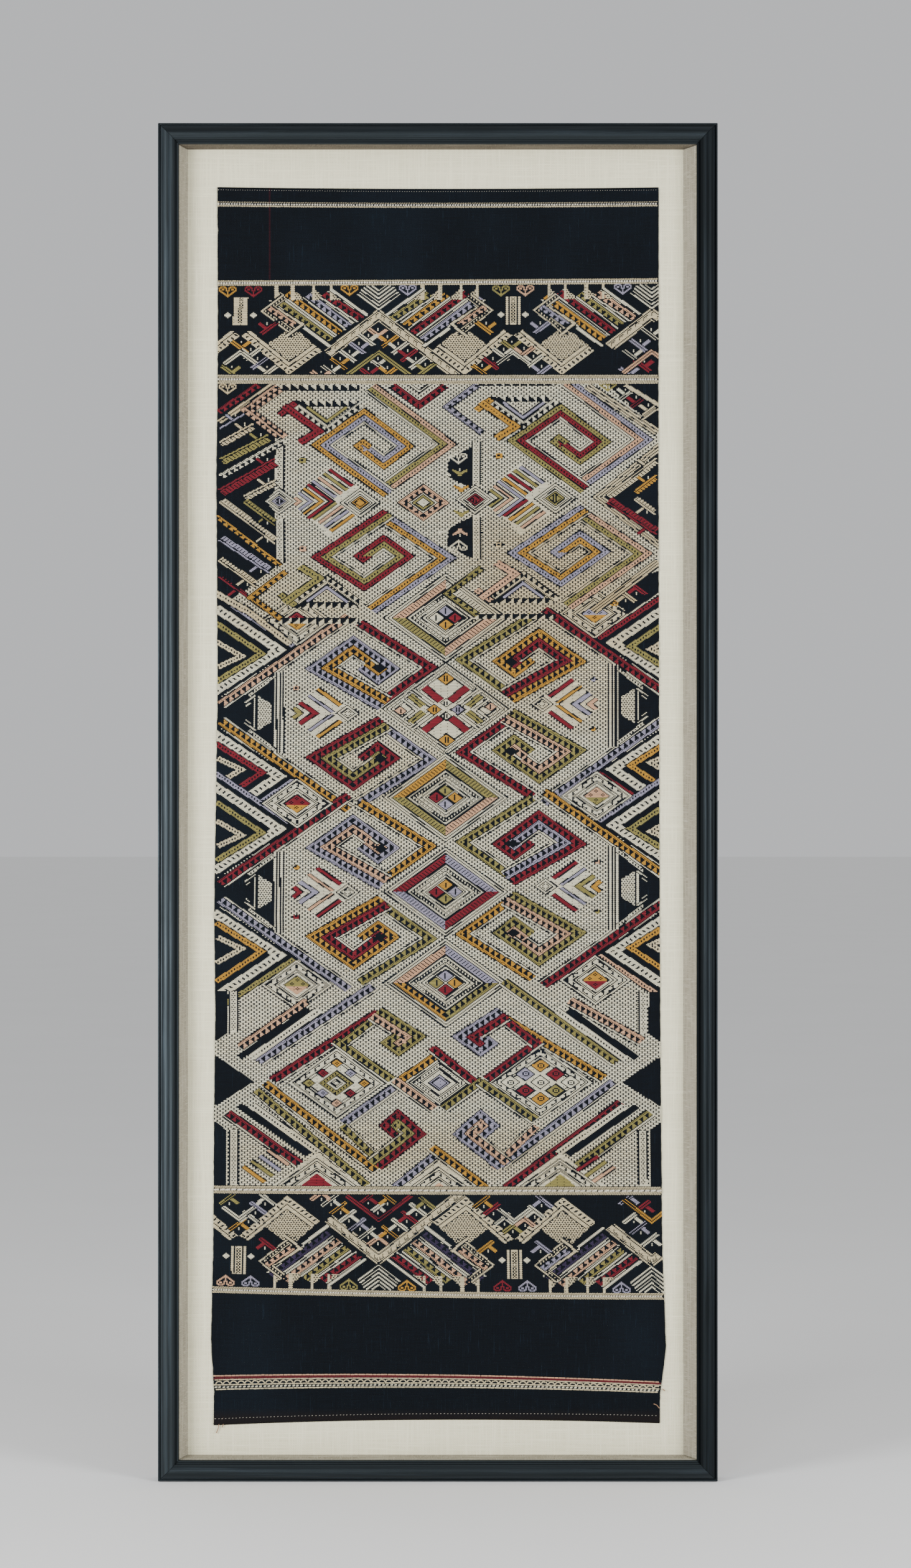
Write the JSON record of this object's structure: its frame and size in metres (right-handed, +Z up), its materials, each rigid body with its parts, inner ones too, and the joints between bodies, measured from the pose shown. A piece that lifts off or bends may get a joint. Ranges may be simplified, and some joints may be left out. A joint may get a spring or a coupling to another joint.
{
  "type": "framed handwoven textile",
  "caption": "Long handwoven cloth with dense hooked-rhomb weft patterning on indigo, stitched to a linen ground in a black wooden shadow-box frame.",
  "frame": {"origin": "on the back face of the top rail, at the middle of its length and of its width, where the frame hangs", "axes": "+Z up as it hangs, +X to the viewer's right, the cloth faces -Y and the flat back lies in the plane Y = 0"},
  "size_m": [0.562, 0.032, 1.364],
  "materials": {
    "frame_wood": "black-stained open-grain wood, satin",
    "board": "raw board",
    "linen": "plain-woven natural linen, matte",
    "fillet_linen": "plain-woven natural linen over a strip, matte",
    "indigo_cloth": "indigo plain weave with silk supplementary weft in cream, crimson, gold, olive, lavender and peach"
  },
  "bodies": {
    "root": {"rail_left": "frame_wood", "rail_right": "frame_wood", "rail_top": "frame_wood", "rail_bottom": "frame_wood", "backing_board": "board", "linen_ground": "linen", "fillet_left": "fillet_linen", "fillet_right": "fillet_linen", "fillet_top": "fillet_linen", "fillet_bottom": "fillet_linen", "textile": "indigo_cloth"}
  },
  "joints": []
}
